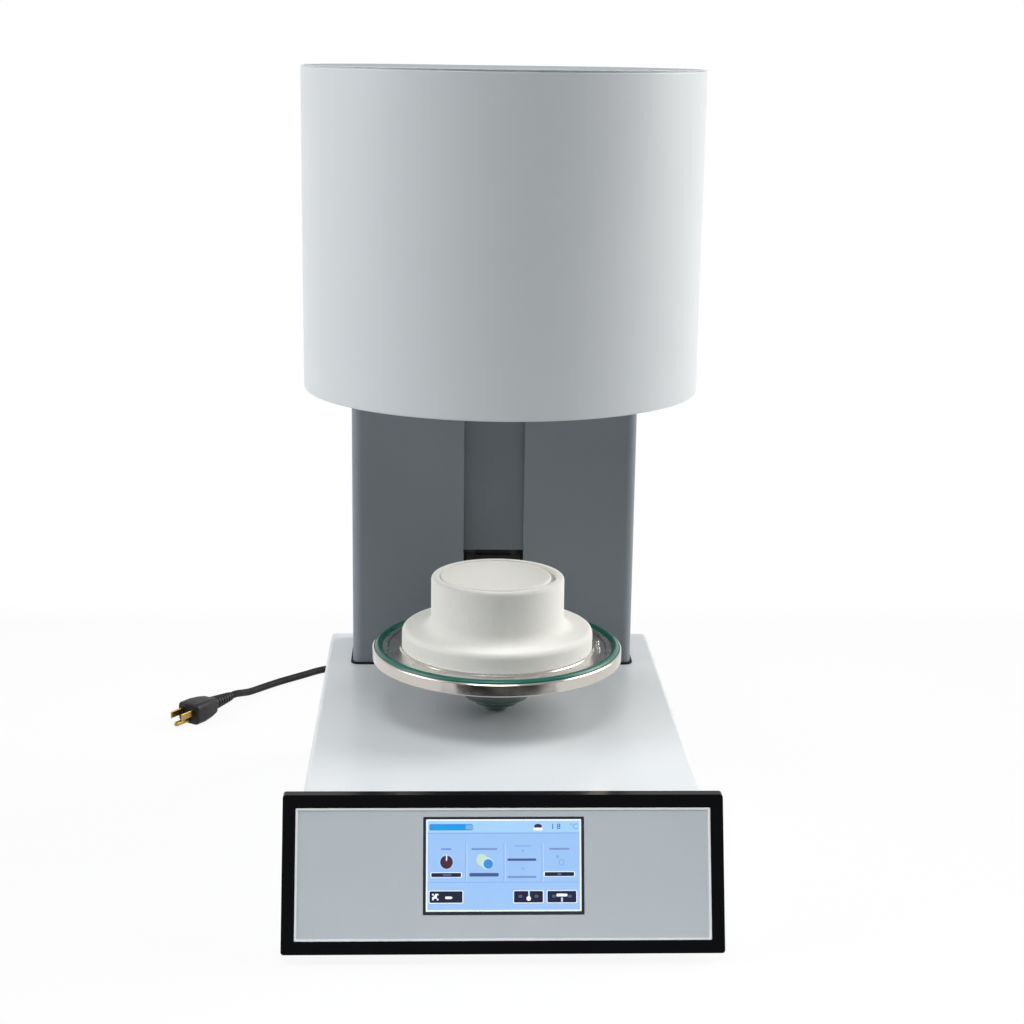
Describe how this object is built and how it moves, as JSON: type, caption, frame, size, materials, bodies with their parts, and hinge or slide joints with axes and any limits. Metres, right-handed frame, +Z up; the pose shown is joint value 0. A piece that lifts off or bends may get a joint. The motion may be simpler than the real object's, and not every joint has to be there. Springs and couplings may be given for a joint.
{
  "type": "dental lab furnace",
  "caption": "Vacuum porcelain furnace: a round muffle on a column, a plate that lifts the firing plinth into it, and a base with a sloping touch display.",
  "frame": {"origin": "bottom centre of the bounding box, on the surface under the feet; the lead is left out", "axes": "+Z up, +Y from the display towards the column, +X to the right seen from the front"},
  "size_m": [0.4481, 0.6554, 0.6055],
  "materials": {
    "white_paint": "semi-gloss powder coat",
    "slate_paint": "satin powder coat",
    "strip_paint": "satin paint",
    "panel_paint": "satin silver paint",
    "black_gloss": "black, slightly glossy",
    "screen_glass": "display glass, dark border round a light blue screen",
    "steel": "turned stainless steel",
    "zinc_steel": "zinc-plated steel",
    "aluminium": "bare machined aluminium",
    "black_aluminium": "black anodised",
    "grey_cone": "dark grey-green anodised",
    "board_green": "circuit board laminate",
    "black_plastic": "moulded black plastic",
    "ivory_plastic": "moulded ivory plastic",
    "black_rubber": "black rubber or soft PVC",
    "green_rubber": "green fluorocarbon rubber",
    "brass": "turned brass",
    "bronze": "sintered bronze",
    "chrome_rod": "hard chromed, ground",
    "fibre": "vacuum-formed ceramic fibre",
    "quartz": "milky fused quartz",
    "probe_ceramic": "alumina sheath",
    "heater_wire": "oxidised resistance wire"
  },
  "bodies": {
    "housing": {"base_cover": "white_paint", "bottom_tray": "zinc_steel", "rear_panel": "white_paint", "front_frame": "black_gloss", "front_panel": "panel_paint", "display_glass": "screen_glass", "display_module": "zinc_steel", "controller_board": "board_green", "power_supply": "zinc_steel", "relay": "ivory_plastic", "heat_sink": "black_aluminium", "rubber_feet": "black_rubber", "mains_inlet": "black_plastic", "pump_outlet": "black_plastic", "switch_housing": "black_plastic", "fan_frame": "black_plastic", "fan_guard": "zinc_steel", "vacuum_nipple": "brass", "vacuum_valve": "brass", "vacuum_hose": "black_rubber", "cover_screws": "zinc_steel", "column_shell": "slate_paint", "column_back": "slate_paint", "column_cap": "slate_paint", "column_frame": "zinc_steel", "strip_guides": "black_plastic", "end_blocks": "aluminium", "guide_rods": "chrome_rod", "screw_bearings": "steel", "lift_motor": "black_plastic", "limit_switches": "black_plastic", "muffle_shell": "white_paint", "muffle_lid": "white_paint", "seal_flange": "steel", "vacuum_vessel": "steel", "insulation_base": "fibre", "insulation_ring": "fibre", "insulation_cap": "fibre", "heating_coil": "heater_wire", "quartz_liner": "quartz", "thermocouple": "probe_ceramic", "mains_connector": "black_plastic", "mains_lead": "black_rubber", "lead_coil": "black_rubber", "lead_tie": "black_plastic", "mains_plug": "black_plastic"},
    "lift": {"carriage": "black_aluminium", "slide_bushes": "bronze", "screw_nut": "bronze", "lift_arm": "slate_paint", "slot_cover": "strip_paint", "platform_plate": "steel", "seal_ring": "green_rubber", "firing_plinth": "fibre", "firing_tray": "fibre", "cone_nut": "grey_cone"},
    "screw": {"lead_screw": "steel", "motor_coupling": "aluminium"},
    "fan_rotor": {"fan_rotor": "black_plastic"},
    "switch_rocker": {"switch_rocker": "black_plastic"}
  },
  "joints": [
    {"name": "lift_slide", "type": "slide", "parent": "housing", "child": "lift", "axis": [0, 0, 1], "range_m": [0, 0.205]},
    {"name": "screw_spin", "type": "hinge", "parent": "housing", "child": "screw", "pos_m": [0, 0.14188, 0.21], "axis": [0, 0, 1], "range_deg": [-7390, 0]},
    {"name": "fan_spin", "type": "hinge", "parent": "housing", "child": "fan_rotor", "pos_m": [-0.085, 0.18188, 0.058], "axis": [0, 1, 0], "continuous": true},
    {"name": "switch_rock", "type": "hinge", "parent": "housing", "child": "switch_rocker", "pos_m": [0.045, 0.19438, 0.058], "axis": [1, 0, 0], "range_deg": [-22, 0]}
  ],
  "couplings": [
    {"joint": "screw_spin", "follows": "lift_slide", "rad_per_m": -628.32}
  ]
}
